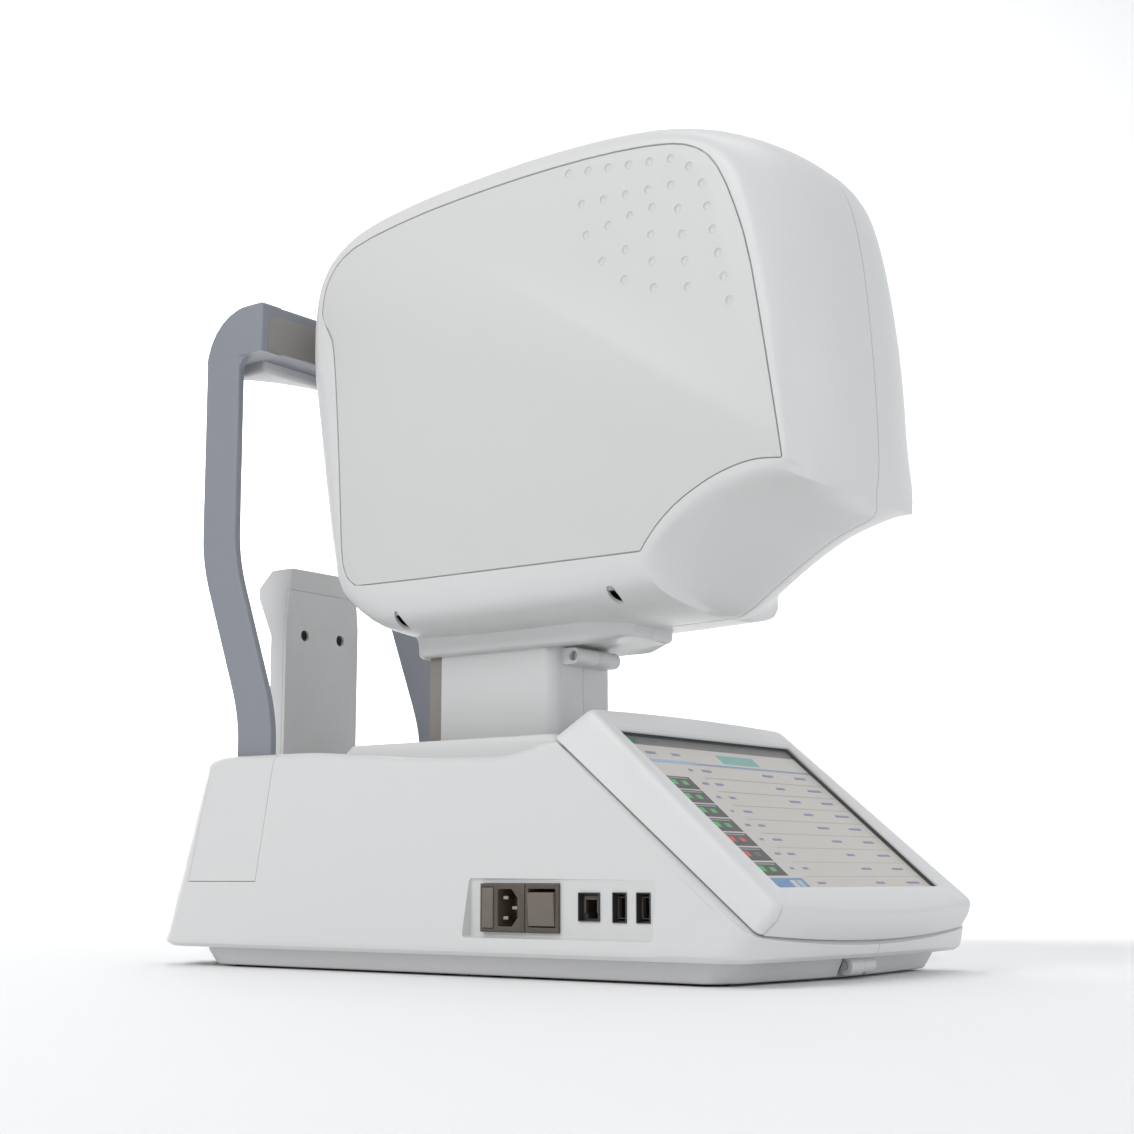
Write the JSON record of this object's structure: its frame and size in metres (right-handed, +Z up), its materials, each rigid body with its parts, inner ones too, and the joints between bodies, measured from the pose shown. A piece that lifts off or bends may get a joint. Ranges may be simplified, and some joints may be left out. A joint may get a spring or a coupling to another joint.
{
  "type": "eye examination instrument",
  "caption": "Tabletop eye-examination instrument: scanning optical head on a motorised column and stage, touch-screen base, chin rest and forehead arch.",
  "frame": {"origin": "middle of the instrument's footprint, on the table under the feet", "axes": "+X to the operator's right as seen from the screen, +Y towards the patient, +Z up"},
  "size_m": [0.304, 0.5785, 0.6],
  "materials": {
    "shell_white": "satin moulded white plastic with a fine grain",
    "tray_white": "satin moulded white plastic",
    "aluminium": "machined",
    "foot_rubber": "matt",
    "screw_steel": "turned",
    "sheet_steel": "zinc-plated sheet",
    "screen_glass": "clear touch glass with a black border",
    "display": null,
    "circuit_board": "solder mask",
    "black_plastic": "matt black",
    "port_grey": "fine matt tan grey",
    "pin_brass": "plated contact",
    "warm_grey": "fine matt warm grey",
    "arch_grey": "satin powder coat",
    "pad_white": "soft satin silicone",
    "lens_glass": "coated optical glass",
    "mirror": "front-surface mirror"
  },
  "bodies": {
    "base": {"base_tray": "tray_white", "base_plate": "aluminium", "rubber_feet": "foot_rubber", "base_left_shell": "shell_white", "base_right_shell": "shell_white", "deck_cover": "shell_white", "arm_covers": "shell_white", "base_screws": "screw_steel", "screen_bezel": "shell_white", "touch_glass": "screen_glass", "display_panel": "display", "main_board": "circuit_board", "port_board": "circuit_board", "power_supply": "sheet_steel", "fan_frame": "black_plastic", "inlet_housing": "port_grey", "inlet_pins": "pin_brass", "switch_frame": "port_grey", "ethernet_port": "sheet_steel", "usb_ports": "sheet_steel", "y_rails": "sheet_steel", "y_motor": "black_plastic", "chin_bracket": "sheet_steel", "chin_guides": "screw_steel", "chin_motor": "black_plastic", "headrest_arch": "arch_grey", "crossbar_insert": "warm_grey", "forehead_pad": "pad_white"},
    "fan": {"fan_rotor": "black_plastic"},
    "fuse_holder": {"fuse_drawer": "port_grey"},
    "rocker": {"power_rocker": "port_grey"},
    "y_screw_shaft": {"y_screw": "screw_steel"},
    "y_stage": {"y_carriage": "aluminium", "x_rails": "sheet_steel", "x_motor": "black_plastic"},
    "x_screw_shaft": {"x_screw": "screw_steel"},
    "leaf": {"dust_leaf": "warm_grey"},
    "x_stage": {"x_carriage": "aluminium", "dust_plate": "warm_grey", "z_mast": "warm_grey", "z_motor": "black_plastic"},
    "z_screw_shaft": {"z_screw": "screw_steel"},
    "head": {"lift_frame": "aluminium", "column_left_cover": "shell_white", "column_right_cover": "shell_white", "head_left_shell": "shell_white", "head_right_shell": "shell_white", "head_left_panel": "shell_white", "head_right_panel": "shell_white", "head_screws": "screw_steel", "optical_bench": "aluminium", "objective_barrel": "black_plastic", "objective_lens": "lens_glass", "galvo_motor": "black_plastic", "laser_module": "black_plastic"},
    "focus": {"focus_carriage": "black_plastic"},
    "mirror": {"scan_mirror": "mirror"},
    "chin": {"chin_post": "shell_white", "chin_back_cover": "shell_white"},
    "chin_screw_shaft": {"chin_screw": "screw_steel"}
  },
  "joints": [
    {"name": "stage_y", "type": "slide", "parent": "base", "child": "y_stage", "axis": [0, 1, 0], "range_m": [-0.025, 0.012]},
    {"name": "y_screw_turn", "type": "hinge", "parent": "base", "child": "y_screw_shaft", "pos_m": [0, 0, 0.0165], "axis": [0, 1, 0], "range_deg": [-2250.01, 1080.01]},
    {"name": "stage_x", "type": "slide", "parent": "y_stage", "child": "x_stage", "axis": [1, 0, 0], "range_m": [-0.04, 0.04]},
    {"name": "x_screw_turn", "type": "hinge", "parent": "y_stage", "child": "x_screw_shaft", "pos_m": [0, 0.02, 0.036], "axis": [1, 0, 0], "range_deg": [-3600.01, 3600.01]},
    {"name": "leaf_slide", "type": "slide", "parent": "y_stage", "child": "leaf", "axis": [1, 0, 0], "range_m": [-0.02, 0.02]},
    {"name": "stage_z", "type": "slide", "parent": "x_stage", "child": "head", "axis": [0, 0, 1], "range_m": [-0.015, 0.015]},
    {"name": "z_screw_turn", "type": "hinge", "parent": "x_stage", "child": "z_screw_shaft", "pos_m": [0, 0.004, 0.1], "axis": [0, 0, 1], "range_deg": [-1350.01, 1350.01]},
    {"name": "focus_slide", "type": "slide", "parent": "head", "child": "focus", "axis": [0, 1, 0], "range_m": [-0.012, 0.012]},
    {"name": "mirror_scan", "type": "hinge", "parent": "head", "child": "mirror", "pos_m": [0, -0.06, 0.45], "axis": [0, 0, 1], "range_deg": [-10, 10]},
    {"name": "chin_lift", "type": "slide", "parent": "base", "child": "chin", "axis": [0, 0, 1], "range_m": [-0.03, 0.025]},
    {"name": "chin_screw_turn", "type": "hinge", "parent": "base", "child": "chin_screw_shaft", "pos_m": [0, 0.2455, 0.1], "axis": [0, 0, 1], "range_deg": [-2700.01, 2250.01]},
    {"name": "fan_spin", "type": "hinge", "parent": "base", "child": "fan", "pos_m": [0.137, -0.047, 0.058], "axis": [1, 0, 0], "continuous": true},
    {"name": "power_switch", "type": "hinge", "parent": "base", "child": "rocker", "pos_m": [-0.137, -0.112, 0.0456], "axis": [0, 1, 0], "range_deg": [0, 10]},
    {"name": "fuse_pull", "type": "slide", "parent": "base", "child": "fuse_holder", "axis": [-1, 0, 0], "range_m": [0, 0.02]}
  ],
  "couplings": [
    {"joint": "y_screw_turn", "follows": "stage_y", "rad_per_m": 1570.8},
    {"joint": "x_screw_turn", "follows": "stage_x", "rad_per_m": 1570.8},
    {"joint": "leaf_slide", "follows": "stage_x", "ratio": 0.5},
    {"joint": "z_screw_turn", "follows": "stage_z", "rad_per_m": 1570.8},
    {"joint": "chin_screw_turn", "follows": "chin_lift", "rad_per_m": 1570.8}
  ]
}
